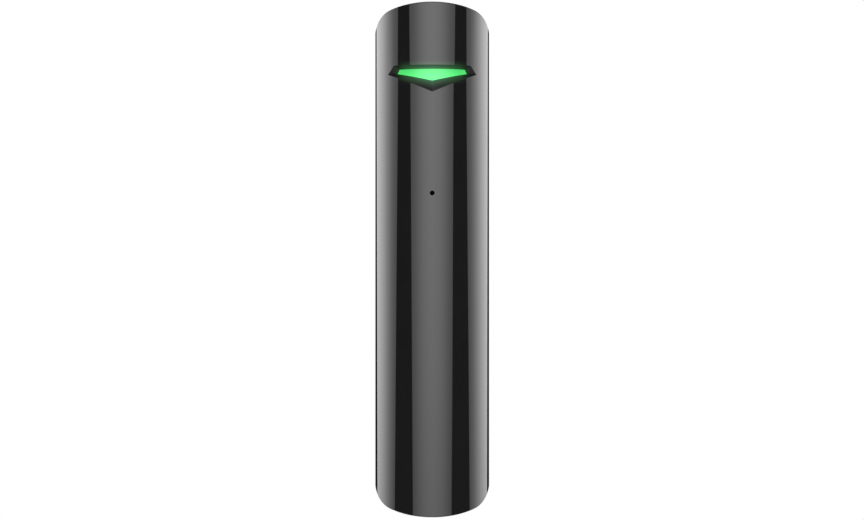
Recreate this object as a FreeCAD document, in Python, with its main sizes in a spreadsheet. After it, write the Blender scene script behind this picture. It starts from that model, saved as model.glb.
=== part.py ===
import FreeCAD, Part
import math
import os
import re
from FreeCAD import Placement, Rotation, Vector

# Slim wall-mounted glass break sensor: a glossy front cover on a tapered rear
# cover, a slide-on mounting bracket, a cell, and a board with a microphone.
# X is to the right seen from the front, -Y is the way the front faces and +Z
# is up. Sub-parts are drawn with the wall at Y = 0 and mid-height at Z = 0,
# and then moved so that the origin lies midway between the two screw holes.

SIZES = {
    # outer form
    "body_height": 90.0,
    "front_radius": 10.2,
    "axis_depth": 9.1,
    "back_half_width": 7.6,
    "back_corner_radius": 1.6,
    "least_corner_radius": 0.3,
    "crown_radius": 26.5,
    "outline_corner_radius": 4.0,
    "outline_overrun": 0.15,
    "end_corner_radius": 3.4,
    "end_overrun": 0.25,
    "roof_radius": 52.0,
    "roof_back_radius": 6.0,
    "roof_back_overrun": 0.2,
    "trim_margin": 1.0,
    # walls and the seam between the covers
    "front_wall": 1.2,
    "rear_wall": 0.9,
    "seam_depth": 5.4,
    "seam_gap": 0.15,
    "seam_corner_radius": 5.0,
    "seam_end_slope": 0.304,
    "seam_end_lift": 0.1,
    "seam_end_step": 1.5,
    # rails of the rear cover that run inside the front cover
    "rail_gap": 0.1,
    "rail_thickness": 0.6,
    "rail_reach": 1.3,
    "rail_end": 11.0,
    "rail_length": 28.0,
    "bead_length": 4.0,
    "bead_height": 0.25,
    "bead_width": 0.6,
    "bead_inset": 7.0,
    # chevron recess and light guide
    "lens_half_width": 6.04,
    "lens_top_half_width": 5.7,
    "lens_end": 11.7,
    "lens_shoulder_drop": 0.7,
    "lens_apex_drop": 1.96,
    "chevron_side_taper": 0.64,
    "chevron_side_drop": 0.06,
    "recess_side_margin": 1.66,
    "recess_top_margin": 0.7,
    "recess_apex_margin": 2.05,
    "recess_depth": 0.85,
    "lens_fit": 0.05,
    "lens_seat_wall": 0.9,
    "lens_seat_front": 5.9,
    "lens_flange": 0.5,
    "lens_flange_thickness": 0.8,
    "stem_width": 3.2,
    "stem_height": 1.9,
    # microphone
    "port_drop": 19.74,
    "port_radius": 0.42,
    "channel_radius": 0.9,
    "port_boss_radius": 2.4,
    "port_boss_front": 5.2,
    "capsule_radius": 3.0,
    "capsule_height": 2.2,
    "gasket_wall": 0.5,
    # board
    "board_depth": 9.6,
    "board_thickness": 1.0,
    "board_side_gap": 1.6,
    "board_end_gap": 4.6,
    "board_foot_drop": 0.05,
    "board_corner": 2.0,
    "pin_radius": 0.55,
    "pin_fit": 0.08,
    "post_width": 2.2,
    "post_side_inset": 1.8,
    "post_top_inset": 2.8,
    "post_foot_inset": 7.2,
    # battery and its contacts
    "cell_foot": 6.8,
    "cell_head_gap": 0.35,
    "cell_gap": 0.1,
    "cell_edge": 0.6,
    "nub_radius": 3.2,
    "nub_height": 0.9,
    "contact_thickness": 0.3,
    "contact_width": 4.0,
    "contact_offset": -3.0,
    "leaf_width": 6.0,
    "contact_leg": 3.6,
    "leaf_rise": 1.9,
    "cradle_thickness": 1.0,
    "shelf_thickness": 1.0,
    # bracket bay in the back
    "bay_side_wall": 1.2,
    "bay_end": 3.75,
    "bay_slide_room": 7.65,
    "bay_depth": 3.4,
    "landing_depth": 2.4,
    "landing_inset": 0.6,
    "landing_lap": 1.45,
    "pocket_drop": 2.4,
    "pocket_corner": 1.1,
    "side_notch_width": 0.5,
    "side_notch_height": 2.65,
    "ledge_thickness": 1.0,
    "ledge_gap": 0.12,
    "upper_ledge_drop": 9.5,
    "upper_ledge_length": 5.1,
    "lower_ledge_rise": 2.4,
    "lower_ledge_length": 3.6,
    "stop_rib_height": 0.5,
    "stop_rib_drop": 0.45,
    # mounting bracket
    "bracket_thickness": 1.3,
    "bracket_side_gap": 1.4,
    "bracket_end_gap": 1.35,
    "bracket_foot_height": 1.65,
    "bracket_web_margin": 1.75,
    "notch_gap": 0.15,
    "notch_corner": 0.9,
    "web_inset": 0.7,
    "pad_drop": 3.8,
    "pad_arch_drop": 3.2,
    "pad_arch_rise": 1.3,
    "pad_relief": 0.25,
    "web_relief": 0.45,
    "tab_side_gap": 0.2,
    "tab_gap": 0.1,
    "tab_thickness": 1.0,
    "tab_end_gap": 0.25,
    "upper_hole_drop": 7.1,
    "hole_pitch": 19.2,
    "screw_hole_radius": 1.8,
    "hole_rim_width": 0.6,
    "tear_inset": 0.5,
    "tear_above_hole": 6.15,
    "tear_below_hole": 4.1,
    "tear_corner": 1.2,
    "tear_slot": 0.5,
    "tear_bridge": 2.1,
    "tear_side_bridge": 1.65,
    "tear_side_bridge_edge": 1.15,
    "panel_inset": 0.6,
    "panel_margin": 0.75,
    "panel_relief": 0.2,
    # buttons and switches behind the bracket
    "tamper_drop": 0.75,
    "tamper_radius": 1.5,
    "tamper_travel": 0.8,
    "power_drop": 5.8,
    "power_radius": 1.8,
    "power_travel": 0.3,
    "button_fit": 0.06,
    "button_flange": 0.6,
    "button_flange_thickness": 0.6,
    "button_gap": 0.15,
    "switch_width": 5.2,
    "switch_gap": 0.1,
    "power_recess": 0.1,
    # wired connector
    "socket_centre": 1.3,
    "socket_foot_gap": 0.065,
    "socket_width": 3.9,
    "socket_height": 2.95,
    "socket_wall": 0.35,
    "socket_proud": 1.6,
    "socket_cavity": 5.5,
    "socket_side_gap": 0.1,
    "socket_slot": 0.45,
    "pin_width": 0.35,
    "pin_length": 4.3,
    "pin_pitch": 0.95,
    "pin_drop": 0.45,
    # label place
    "label_inset": 1.4,
    "label_foot": 10.7,
    "label_height": 12.4,
    "label_thickness": 0.08,
    # pry notches in the rear cover's sides
    "pry_drop": 21.0,
    "pry_half_length": 1.15,
    "pry_half_width": 0.4,
    "pry_depth": 0.4,
    # small parts on the board
    "led_width": 1.6,
    "led_thickness": 0.8,
    "shield_side_gap": 0.4,
    "shield_height": 8.0,
    "shield_thickness": 2.0,
    "shield_end_gap": 1.6,
    "shield_metal": 0.2,
    "chip_width": 5.0,
    "chip_thickness": 0.9,
    "controller_rise": 4.8,
    "amplifier_width": 3.0,
    "amplifier_rise": 6.0,
    "crystal_width": 3.2,
    "crystal_depth": 0.8,
    "crystal_length": 2.0,
    "crystal_gap": 0.8,
    "reservoir_radius": 2.0,
    "reservoir_height": 4.4,
    "reservoir_offset": 3.0,
    "reservoir_rise": 2.6,
    "reservoir_base": 0.5,
    "reservoir_groove": 0.25,
    "chip_capacitor_length": 1.6,
    "chip_capacitor_width": 0.8,
    "chip_capacitor_inset": 1.4,
    "chip_capacitor_rise": 2.4,
    "chip_capacitor_pitch": 4.0,
    "antenna_strip": 0.8,
    "antenna_thickness": 0.3,
    "antenna_rise": 3.4,
    "antenna_span": 10.0,
    "antenna_drop": 2.2,
}

# Half widths, levels above mid-height and other sizes that follow from those above
DERIVED = {
    "bay_half_width": "back_half_width - bay_side_wall",
    "bracket_half_width": "bay_half_width - bracket_side_gap",
    "web_half_width": "bracket_half_width - web_inset",
    "tear_half_width": "web_half_width - tear_inset",
    "panel_half_width": "tear_half_width - panel_inset",
    "landing_half_width": "bracket_half_width - landing_inset",
    "tab_reach": "bay_half_width - tab_side_gap",
    "notch_half_width": "socket_centre + socket_width / 2 + notch_gap",
    "label_half_width": "back_half_width - label_inset",
    "board_half_width": "front_radius - front_wall - board_side_gap",
    "post_offset": "board_half_width - post_side_inset",
    "chip_capacitor_offset": "board_half_width - chip_capacitor_inset",
    "shield_width": "2 * (post_offset - post_width / 2 - shield_side_gap)",
    "crystal_offset": "-(chip_width + crystal_width) / 2 - crystal_gap",
    "cell_room": "min(front_radius - front_wall; (front_radius + axis_depth - front_wall - rear_wall) / 2)",
    "cell_radius": "cell_room - cell_gap",
    "body_top": "body_height / 2",
    "body_bottom": "-body_height / 2",
    "bay_top": "body_top - bay_end",
    "bracket_top": "bay_top - bracket_end_gap",
    "pad_arch_top": "bracket_top - pad_arch_drop",
    "pad_shoulder": "pad_arch_top - pad_arch_rise",
    "upper_ledge_top": "bracket_top - upper_ledge_drop",
    "upper_ledge_bottom": "upper_ledge_top - upper_ledge_length",
    "upper_hole_height": "bracket_top - upper_hole_drop",
    "lower_hole_height": "upper_hole_height - hole_pitch",
    "pad_bottom": "upper_hole_height - pad_drop",
    "power_height": "upper_hole_height - power_drop",
    "tear_top": "lower_hole_height + tear_above_hole",
    "tear_bottom": "lower_hole_height - tear_below_hole",
    "tamper_height": "tear_top - tamper_drop",
    "bracket_web_bottom": "tear_bottom - bracket_web_margin",
    "bracket_leg_bottom": "bracket_web_bottom - bracket_foot_height",
    "landing_top": "bracket_web_bottom + landing_lap",
    "lower_ledge_top": "bracket_leg_bottom + lower_ledge_rise",
    "lower_ledge_bottom": "lower_ledge_top - lower_ledge_length",
    "pocket_bottom": "bracket_leg_bottom - pocket_drop",
    "bay_bottom": "bracket_leg_bottom - bay_slide_room",
    "side_notch_top": "bay_bottom + side_notch_height",
    "socket_level": "bay_bottom + socket_foot_gap + socket_slot + socket_height / 2",
    "board_top": "body_top - board_end_gap",
    "board_bottom": "bay_bottom - board_foot_drop",
    "post_high": "board_top - post_top_inset",
    "post_low": "board_bottom + post_foot_inset",
    "antenna_level": "board_top - antenna_drop",
    "shield_bottom": "board_top - shield_end_gap - shield_height",
    "reservoir_level": "board_bottom + reservoir_rise",
    "lens_top_height": "body_top - lens_end",
    "lens_shoulder_height": "lens_top_height - lens_shoulder_drop",
    "lens_apex_height": "lens_top_height - lens_apex_drop",
    "lens_level": "(lens_top_height + lens_apex_height) / 2",
    "port_height": "lens_apex_height - port_drop",
    "amplifier_height": "port_height + amplifier_rise",
    "controller_height": "amplifier_height + controller_rise",
    "chip_capacitor_first": "port_height + chip_capacitor_rise",
    "rail_top": "body_top - rail_end",
    "rail_bottom": "rail_top - rail_length",
    "pry_height": "body_top - pry_drop",
    "cell_top": "bay_bottom - rear_wall - cell_head_gap",
    "cell_bottom": "body_bottom + cell_foot",
    "cell_length": "cell_top - nub_height - cell_bottom",
    "label_bottom": "body_bottom + label_foot",
    "label_top": "label_bottom + label_height",
}

CHIP_CAPACITOR_COUNT = 4
CRADLE_COUNT = 3

doc = FreeCAD.newDocument("glass_break_sensor")
sheet = doc.addObject("Spreadsheet::Sheet", "Sizes")
for row, (alias, number) in enumerate(SIZES.items(), start=1):
    sheet.set("A%d" % row, alias)
    sheet.set("B%d" % row, str(number))
    sheet.setAlias("B%d" % row, alias)
doc.recompute()

WORD = re.compile(r"[a-z_]+")


def cell_text(word):
    """A size's cell, a derived size's formula, or the word itself."""
    if word in DERIVED:
        return "(%s)" % formula(DERIVED[word])
    if word in SIZES:
        return "Sizes." + word
    return word


def formula(text):
    """Expression text with each size's name turned into its cell."""
    return WORD.sub(lambda match: cell_text(match.group()), text)


def value(text):
    """Number that a formula in the sizes' names gives."""
    return float(sheet.evalExpression(formula(text)))


size = value


def drive(item, prop, text):
    item.setExpression(prop, formula(text))


# Solids and booleans

def block(name, x, y, z):
    """Box between two formulas along each axis."""
    item = doc.addObject("Part::Box", name)
    for side, axis, (low, high) in (("Length", "x", x), ("Width", "y", y), ("Height", "z", z)):
        drive(item, side, "(%s) - (%s)" % (high, low))
        drive(item, "Placement.Base." + axis, low)
    return item


def rod_y(name, radius, x, y, z):
    """Cylinder along Y at x, z between two formulas."""
    item = doc.addObject("Part::Cylinder", name)
    item.Placement = Placement(Vector(), Rotation(Vector(1, 0, 0), -90))
    drive(item, "Radius", radius)
    drive(item, "Height", "(%s) - (%s)" % (y[1], y[0]))
    for axis, text in (("x", x), ("y", y[0]), ("z", z)):
        drive(item, "Placement.Base." + axis, text)
    return item


def rod_z(name, radius, y, z):
    """Cylinder along Z on the middle plane."""
    item = doc.addObject("Part::Cylinder", name)
    drive(item, "Radius", radius)
    drive(item, "Height", "(%s) - (%s)" % (z[1], z[0]))
    drive(item, "Placement.Base.y", y)
    drive(item, "Placement.Base.z", z[0])
    return item


def cut(name, base, tool):
    item = doc.addObject("Part::Cut", name)
    item.Base = base
    item.Tool = tool
    return item


def fuse(name, parts):
    item = doc.addObject("Part::MultiFuse", name)
    item.Shapes = parts
    return item


def common(name, parts):
    item = doc.addObject("Part::MultiCommon", name)
    item.Shapes = parts
    return item


def mirror_x(name, source):
    """The same piece on the other side of the middle plane."""
    item = doc.addObject("Part::Mirroring", name)
    item.Source = source
    item.Base = Vector(0, 0, 0)
    item.Normal = Vector(1, 0, 0)
    return item


def both_sides(name, source):
    return fuse(name, [source, mirror_x(name + "_other", source)])


# Sketches

PLANES = {
    "XY": Rotation(0, 0, 0),
    "XZ": Rotation(Vector(1, 0, 0), 90),
    "YZ": Rotation(Vector(1, 1, 1), 120),
}


def sketch(name, plane, edges, offset=0.0):
    """Free sketch on a plane through the origin, moved along its normal."""
    item = doc.addObject("Sketcher::SketchObject", name)
    turn = PLANES[plane]
    item.Placement = Placement(turn.multVec(Vector(0, 0, offset)), turn)
    item.addGeometry(edges, False)
    return item


def line(a, b):
    return Part.LineSegment(Vector(a[0], a[1], 0), Vector(b[0], b[1], 0))


def arc(a, middle, b):
    return Part.Arc(*[Vector(p[0], p[1], 0) for p in (a, middle, b)])


def polygon(points):
    return [line(a, b) for a, b in zip(points, points[1:] + points[:1])]


def on_circle(centre, radius, degrees):
    turn = math.radians(degrees)
    return (centre[0] + radius * math.cos(turn), centre[1] + radius * math.sin(turn))


def extrude(name, profile, length, direction, middle=True):
    """Prism of a sketch, half to each side of its plane or all one way."""
    item = doc.addObject("Part::Extrusion", name)
    item.Base = profile
    item.DirMode = "Custom"
    item.Dir = direction
    item.Solid = True
    item.Symmetric = middle
    drive(item, "LengthFwd", length)
    return item


def body_sketch(body, role, edges, name="outline"):
    """Sketch on one of a body's own origin planes."""
    item = body.newObject("Sketcher::SketchObject", body.Name + "_" + name)
    plane = [f for f in body.Origin.OriginFeatures if f.Role == role][0]
    item.AttachmentSupport = [(plane, "")]
    item.MapMode = "FlatFace"
    item.addGeometry(edges, False)
    return item


def new_body(name):
    body = doc.addObject("PartDesign::Body", name)
    doc.recompute()
    return body


def turned(name, points, axis, x="0", y="0", z="0"):
    """Revolved body from (along, radius) points about Y or Z."""
    body = new_body(name)
    if axis == "Z":
        points = [(radius, along) for along, radius in points]
    profile = body_sketch(body, "YZ_Plane", polygon(points))
    turn = body.newObject("PartDesign::Revolution", name + "_turn")
    turn.Profile = profile
    turn.ReferenceAxis = (profile, ["H_Axis" if axis == "Y" else "V_Axis"])
    turn.Angle = 360
    body.Tip = turn
    place(body, x, y, z)
    return body


def padded(name, role, edges, length, middle=True):
    """Padded body from a closed outline on an origin plane."""
    body = new_body(name)
    profile = body_sketch(body, role, edges)
    pad = body.newObject("PartDesign::Pad", name + "_pad")
    pad.Profile = profile
    drive(pad, "Length", length)
    pad.Midplane = middle
    body.Tip = pad
    return body


# Sub-parts are kept in a list and moved to the frame of the screw holes

NODES = []
MOUNT_HEIGHT = "(upper_hole_height + lower_hole_height) / 2"


def place(item, x, y, z):
    for axis, text in (("x", x), ("y", y), ("z", z)):
        drive(item, "Placement.Base." + axis, text)


def node(item, label, x="0", y="0", z="0"):
    """Finish a sub-part: its label and its place in the shared frame."""
    item.Label = label
    place(item, x, y, "(%s) - %s" % (z, MOUNT_HEIGHT))
    NODES.append(item)
    return item


# Outer form of the housing, at any distance inside the surface

BACK = 0.0
FRONT = "-(front_radius + axis_depth)"
AXIS = "-axis_depth"
BOARD_FRONT = "-board_depth - board_thickness"
BOARD_BACK = "-board_depth"
LENS_SEAT = AXIS + " - lens_seat_front"
PINS = (("left", "-post_offset", "post_low"), ("right", "post_offset", "post_high"))
BUTTON_SEAT = "-bay_depth - rear_wall - button_fit"
BUTTON_END = BUTTON_SEAT + " - button_flange_thickness"
CELL_Y = "-(front_radius + axis_depth - front_wall + rear_wall) / 2"


def taper_angle():
    """Angle by which the sides close in towards the back."""
    far = math.hypot(size("back_half_width"), size("axis_depth"))
    lean = math.atan2(size("back_half_width"), size("axis_depth"))
    return math.asin(size("front_radius") / far) - lean


def section_edges(inset):
    """Plan section: round front, tapered sides, flat back."""
    lean = taper_angle()
    radius = size("front_radius") - inset
    axis = -size("axis_depth")
    corner = max(size("back_corner_radius") - inset, size("least_corner_radius"))
    corner_y = BACK - inset - corner
    reach = radius - corner - (corner_y - axis) * math.sin(lean)
    centre = (reach / math.cos(lean), corner_y)
    side = on_circle((0, axis), radius, math.degrees(lean))
    turn_in = on_circle(centre, corner, math.degrees(lean))
    turn_mid = on_circle(centre, corner, (math.degrees(lean) + 90) / 2)
    flat = (centre[0], BACK - inset)

    def left(point):
        return (-point[0], point[1])

    return [
        arc(left(side), (0, axis - radius), side),
        line(side, turn_in),
        arc(turn_in, turn_mid, flat),
        line(flat, left(flat)),
        arc(left(flat), left(turn_mid), left(turn_in)),
        line(left(turn_in), left(side)),
    ]


def roof_axis_height():
    return size("body_height") / 2 - size("roof_radius")


def chord(a, middle, b):
    """Straight stand-in for an arc, used on the hidden inner side."""
    return line(a, b)


def outline_edges(inset, bend):
    """Front outline of the upper end, closed along the roof's axis."""
    top = size("body_height") / 2 - inset
    crown = size("crown_radius") - inset
    corner = size("outline_corner_radius") - inset
    side = size("front_radius") + size("outline_overrun") - inset
    crown_z = top - crown
    corner_x = side - corner
    corner_z = crown_z + math.sqrt((crown - corner) ** 2 - corner_x ** 2)
    lean = math.degrees(math.atan2(corner_z - crown_z, corner_x))
    join = on_circle((0, crown_z), crown, lean)
    middle = on_circle((corner_x, corner_z), corner, lean / 2)
    base = roof_axis_height()
    return [
        bend((-join[0], join[1]), (0, top), join),
        bend(join, middle, (side, corner_z)),
        line((side, corner_z), (side, base)),
        line((side, base), (-side, base)),
        line((-side, base), (-side, corner_z)),
        bend((-side, corner_z), (-middle[0], middle[1]), (-join[0], join[1])),
    ]


def side_edges(inset):
    """Side profile: a flat back that rolls over into both ends."""
    roll = size("roof_back_radius")
    deep = size("front_radius") + size("axis_depth")
    axis_z = roof_axis_height()
    reach = size("roof_radius") - roll + size("roof_back_overrun")
    centre_z = axis_z + math.sqrt(reach ** 2 - (deep - roll) ** 2)
    turn = math.degrees(math.atan2(centre_z - axis_z, deep - roll))
    end = on_circle((-roll, centre_z), roll - inset, turn)
    middle = on_circle((-roll, centre_z), roll - inset, turn / 2)
    top = size("body_height") / 2 + size("trim_margin")
    front = -deep - size("trim_margin")
    back = BACK - inset

    def low(point):
        return (point[0], -point[1])

    return [
        line((back, -centre_z), (back, centre_z)),
        arc((back, centre_z), middle, end),
        line(end, (end[0], top)),
        line((end[0], top), (front, top)),
        line((front, top), (front, -top)),
        line((front, -top), (end[0], -top)),
        line((end[0], -top), low(end)),
        arc(low(end), low(middle), (back, -centre_z)),
    ]


def side_at(inset, depth):
    """Half width of the tapered sides at a depth from the back."""
    lean = taper_angle()
    radius = size("front_radius") - inset
    return radius / math.cos(lean) - (size("axis_depth") - depth) * math.tan(lean)


def roof_at(inset, depth):
    """Height of the roof's middle at a depth from the back."""
    level = size("front_radius") + size("axis_depth") - depth
    return roof_axis_height() + math.sqrt((size("roof_radius") - inset) ** 2 - level ** 2)


def end_ring(inset, half, top, corner, bend):
    """Closed outline with arched ends and four bent corners."""
    crown = size("crown_radius") - inset
    corner_x = half - corner
    crown_z = top - crown
    corner_z = crown_z + math.sqrt((crown - corner) ** 2 - corner_x ** 2)
    lean = math.degrees(math.atan2(corner_z - crown_z, corner_x))
    join = on_circle((0, crown_z), crown, lean)
    middle = on_circle((corner_x, corner_z), corner, lean / 2)

    def at(point, across, upright):
        return (across * point[0], upright * point[1])

    edges = []
    for upright in (1, -1):
        edges.append(arc(at(join, -upright, upright), (0, upright * top), at(join, upright, upright)))
        turn = [at(point, upright, upright) for point in (join, middle, (half, corner_z))]
        edges.append(bend(*turn))
        edges.append(line((upright * half, upright * corner_z), (upright * half, -upright * corner_z)))
        turn = [at(point, upright, -upright) for point in ((half, corner_z), middle, join)]
        edges.append(bend(*turn))
    return edges


def trimmed_ends(name, inset, bend):
    """Loft that only trims the corners where the tapered sides meet the ends."""
    margin = size("trim_margin")
    axis = size("axis_depth")
    deep = size("front_radius") + axis
    wide = size("outline_overrun")
    over = size("end_overrun")
    front_side = size("front_radius") + wide + margin / 2 - inset
    front_corner = size("outline_corner_radius") - inset
    back_corner = size("end_corner_radius") - inset
    rings = [
        (deep + margin, front_side, margin, front_corner),
        (axis, side_at(inset, axis) + wide, over, front_corner),
        (-margin, side_at(inset, -margin), over, back_corner),
    ]
    sections = []
    for number, (depth, half, above, corner) in enumerate(rings, start=1):
        top = roof_at(inset, min(depth, deep)) + above
        edges = end_ring(inset, half, top, corner, bend)
        sections.append(sketch("%s_ring_%d" % (name, number), "XZ", edges, offset=depth))
    loft = doc.addObject("Part::Loft", name + "_ends")
    loft.Sections = sections
    loft.Solid = True
    loft.Ruled = True
    return loft


def blank(name, inset_text, bend=arc, trimmed=False):
    """Whole housing form, the same distance inside the surface all over."""
    inset = value(inset_text)
    section = sketch(name + "_section", "XY", section_edges(inset))
    prism = extrude(name + "_prism", section, "body_height + 2 * trim_margin", Vector(0, 0, 1))
    deep = size("front_radius") + size("axis_depth")
    outline = sketch(name + "_outline", "XZ", outline_edges(inset, bend), offset=deep)
    roof = doc.addObject("Part::Revolution", name + "_roof")
    roof.Source = outline
    roof.Axis = Vector(1, 0, 0)
    roof.Base = Vector(0, -deep, roof_axis_height())
    roof.Angle = 360
    roof.Solid = True
    foot = doc.addObject("Part::Mirroring", name + "_foot")
    foot.Source = roof
    foot.Normal = Vector(0, 0, 1)
    side = sketch(name + "_side", "YZ", side_edges(inset))
    width = "2 * (front_radius + trim_margin)"
    slab = extrude(name + "_slab", side, width, Vector(1, 0, 0))
    forms = [prism, roof, foot, slab]
    if trimmed:
        forms.append(trimmed_ends(name, inset, bend))
    return common(name, forms)


def seam_edges(shift):
    """Side profile of what lies in front of the seam, grown by a shift."""
    half = size("body_height") / 2
    front = -(size("front_radius") + size("axis_depth"))
    margin = size("trim_margin")
    slope = math.atan(size("seam_end_slope"))
    seam = -size("seam_depth") + shift
    radius = size("seam_corner_radius") + shift
    step = front + size("seam_end_step") + shift

    def end_line(y):
        lift = size("seam_end_lift") + shift / math.cos(slope)
        return half + lift - math.tan(slope) * (y - front)

    centre_y = seam - radius
    centre_z = end_line(centre_y) - radius / math.cos(slope)
    meet = on_circle((centre_y, centre_z), radius, 90 - math.degrees(slope))
    middle = on_circle((centre_y, centre_z), radius, (90 - math.degrees(slope)) / 2)
    return [
        line((seam, -centre_z), (seam, centre_z)),
        arc((seam, centre_z), middle, meet),
        line(meet, (step, end_line(step))),
        line((step, end_line(step)), (step, half + 2 * margin)),
        line((step, half + 2 * margin), (front - margin, half + 2 * margin)),
        line((front - margin, half + 2 * margin), (front - margin, -half - 2 * margin)),
        line((front - margin, -half - 2 * margin), (step, -half - 2 * margin)),
        line((step, -half - 2 * margin), (step, -end_line(step))),
        line((step, -end_line(step)), (meet[0], -meet[1])),
        arc((meet[0], -meet[1]), (middle[0], -middle[1]), (seam, -centre_z)),
    ]


def front_region(name, shift_text):
    profile = sketch(name + "_profile", "YZ", seam_edges(value(shift_text)))
    return extrude(name, profile, "2 * (front_radius + 2 * trim_margin)", Vector(1, 0, 0))


# Chevron outlines in the front plane

def chevron(side, top, apex):
    """Chevron points with margins added at its side, top and apex."""
    wide = size("lens_half_width") + side
    narrow = size("lens_top_half_width") + side * size("chevron_side_taper")
    shoulder = size("lens_shoulder_height") - side * size("chevron_side_drop")
    upper = size("lens_top_height") + top
    lower = size("lens_apex_height") - apex
    return [(wide, shoulder), (narrow, upper), (-narrow, upper), (-wide, shoulder), (0, lower)]


def chevron_prism(name, margin_text, front, back):
    """Prism of the chevron between two depths."""
    margin = value(margin_text)
    depth = -value(front)
    profile = sketch(name + "_outline", "XZ", polygon(chevron(margin, margin, margin)), offset=depth)
    length = "(%s) - (%s)" % (back, front)
    return extrude(name, profile, length, Vector(0, 1, 0), middle=False)


def wall_on_cylinder(points, radius):
    """Front face of a chevron column that ends on a cylinder, for the recess."""
    axis = -size("axis_depth")
    far = size("front_radius") + 5 * size("trim_margin")
    ring = [Vector(x, axis - far, z) for x, z in points]
    column = Part.Face(Part.makePolygon(ring + ring[:1])).extrude(Vector(0, far, 0))
    tall = size("body_height")
    drum = Part.makeCylinder(radius, tall, Vector(0, axis, -tall / 2))
    body = column.common(drum)
    faces = [f for f in body.Faces if isinstance(f.Surface, Part.Cylinder)]
    return faces[0]


def ordered_edges(face, points):
    """Edges of a face in the order of the chevron's sides."""
    found = []
    for a, b in zip(points, points[1:] + points[:1]):
        middle = Vector((a[0] + b[0]) / 2, 0, (a[1] + b[1]) / 2)

        def far(edge):
            ends = [v.Point for v in edge.Vertexes]
            mid = (ends[0] + ends[-1]) * 0.5
            return math.hypot(mid.x - middle.x, mid.z - middle.z)

        found.append(min(face.Edges, key=far))
    return found


def recess_cutter():
    """Dish between the outline on the face and the smaller one on the lens."""
    depth = size("recess_depth")
    fit = size("lens_fit")
    above = depth / 2
    stretch = above / depth
    low = chevron(fit, fit, fit)
    side = size("recess_side_margin") - fit
    top = size("recess_top_margin") - fit
    apex = size("recess_apex_margin") - fit
    grow = 1 + stretch
    high = chevron(fit + side * grow, fit + top * grow, fit + apex * grow)
    floor = wall_on_cylinder(low, size("front_radius") - depth)
    lid = wall_on_cylinder(high, size("front_radius") + above)
    faces = [floor, lid]
    for upper, lower in zip(ordered_edges(lid, high), ordered_edges(floor, low)):
        begin = upper.firstVertex(True).Point
        near = lower.firstVertex(True).Point
        far = lower.lastVertex(True).Point
        if begin.distanceToPoint(far) < begin.distanceToPoint(near):
            lower = lower.reversed()
        faces.extend(Part.makeRuledSurface(upper, lower).Faces)
    shell = Part.makeShell(faces)
    shell.sewShape()
    solid = Part.Solid(Part.Shell(shell.Faces))
    if solid.Volume < 0:
        solid.reverse()
    item = doc.addObject("Part::Feature", "recess_cutter")
    item.Shape = solid
    return item


# Covers

def make_front_cover(form, front_inner):
    shell = cut("front_shell", common("front_solid", [form, front_region("front_zone", "0")]), front_inner)
    seat_column = chevron_prism("lens_seat_column", "lens_fit + lens_seat_wall", FRONT, LENS_SEAT)
    port_end = AXIS + " - port_boss_front"
    boss = rod_y("port_boss", "port_boss_radius", "0", (FRONT, port_end), "port_height")
    mid_skin = blank("front_mid_skin", "front_wall / 2")
    seat = common("lens_seat_and_boss", [fuse("seat_forms", [seat_column, boss]), mid_skin])
    solid = fuse("front_solid_all", [shell, seat])
    aperture = chevron_prism("aperture", "lens_fit", FRONT + " + recess_depth / 2", AXIS)
    clip = rod_z("aperture_drum", "front_radius - recess_depth / 2", AXIS, ("0", "body_top"))
    hole = common("aperture_clipped", [aperture, clip])
    port = rod_y("port", "port_radius", "0", (FRONT + " - trim_margin", AXIS), "port_height")
    channel_front = FRONT + " + front_wall"
    channel = rod_y("channel", "channel_radius", "0", (channel_front, AXIS), "port_height")
    groove_skin = blank("groove_skin", "front_wall - rail_gap - bead_height")
    groove_cut = common("groove_cut", [bead_blocks("groove", "rail_gap"), groove_skin])
    tools = fuse("front_tools", [recess_cutter(), hole, port, channel, groove_cut])
    return node(cut("front_cover", solid, tools), "front_cover")


def bead_blocks(name, margin):
    """Blocks where the snap beads stand, with a margin all round each one."""
    middle = "-seam_depth - rail_reach / 2"
    wide = "bead_width / 2 + " + margin
    tall = "bead_length / 2 + " + margin
    pairs = []
    for spot, level in (("low", "rail_bottom + bead_inset"), ("high", "rail_top - bead_inset")):
        bead = block(
            "%s_%s" % (name, spot), ("front_radius / 2", "front_radius"),
            ("%s - (%s)" % (middle, wide), "%s + %s" % (middle, wide)),
            ("%s - (%s)" % (level, tall), "%s + %s" % (level, tall)),
        )
        pairs.append(both_sides("%s_pair_%s" % (name, spot), bead))
    return fuse(name + "_blocks", pairs)


def rail_band(name, form, front, back, core):
    """Part of a form between two depths, over the rails' length, less a core."""
    zone = block(
        name + "_zone", ("-front_radius", "front_radius"), (front, back), ("rail_bottom", "rail_top"),
    )
    return cut(name, common(name + "_band", [form, zone]), core)


def make_rails():
    """Two rails that run inside the front cover's edges, with snap beads."""
    outer = "front_wall + rail_gap"
    core = blank("rail_inner", outer + " + rail_thickness")
    back = "-seam_depth + rail_reach"
    rail = rail_band("rail", blank("rail_outer", outer), "-seam_depth - rail_reach", back, core)
    foot_form = blank("rail_foot_outer", "rear_wall / 2")
    foot = rail_band("rail_foot", foot_form, "-seam_depth + seam_gap", back, core)
    bead_form = blank("bead_skin", outer + " - bead_height")
    beads = cut("beads", common("bead_band", [bead_blocks("bead", "0"), bead_form]), core)
    return [rail, foot, beads]


def bay_solid():
    """Walls and floor of the bracket bay, moulded inwards from the back."""
    return block(
        "bay_outside",
        ("-bay_half_width - rear_wall", "bay_half_width + rear_wall"),
        ("-bay_depth - rear_wall", "trim_margin"),
        ("bay_bottom - rear_wall", "bay_top + rear_wall"),
    )


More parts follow.
